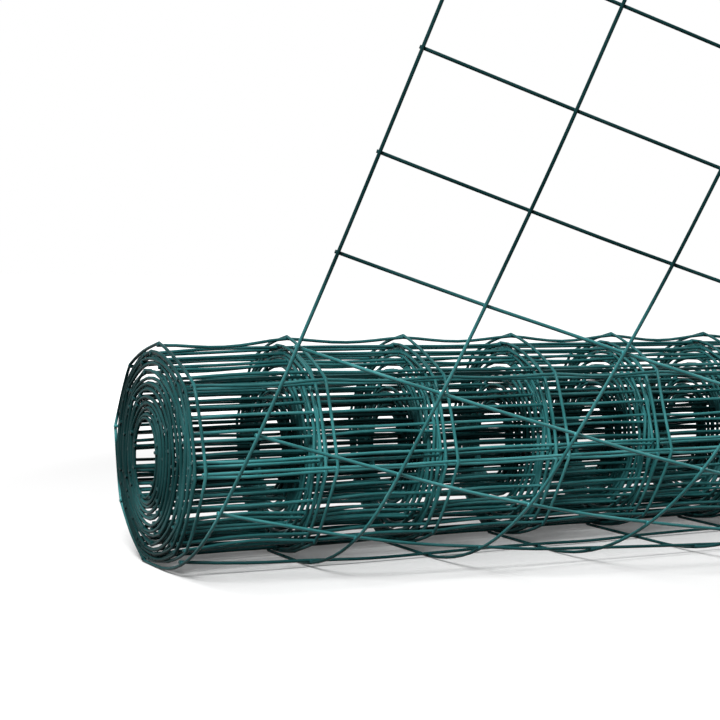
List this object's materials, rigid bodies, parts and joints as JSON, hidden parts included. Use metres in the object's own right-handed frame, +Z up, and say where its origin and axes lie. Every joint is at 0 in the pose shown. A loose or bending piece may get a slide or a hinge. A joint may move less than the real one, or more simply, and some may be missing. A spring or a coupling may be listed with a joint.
{
  "type": "roll of welded wire fencing",
  "caption": "Roll of coated welded wire mesh fencing lying on its side, with an open core and a loose end that runs out under it and lifts in front.",
  "frame": {"origin": "middle of the open core, halfway along the roll", "axes": "+X along the core from the end with the higher corner, +Y away from the lifted loose end, +Z up"},
  "size_m": [0.6309, 0.4376, 0.3599],
  "materials": {
    "green_coating": "glossy"
  },
  "bodies": {
    "root": {"wound_roll": "green_coating", "floor_run": "green_coating", "curl": "green_coating", "low_rise": "green_coating", "high_rise": "green_coating", "free_edge": "green_coating"}
  },
  "joints": []
}
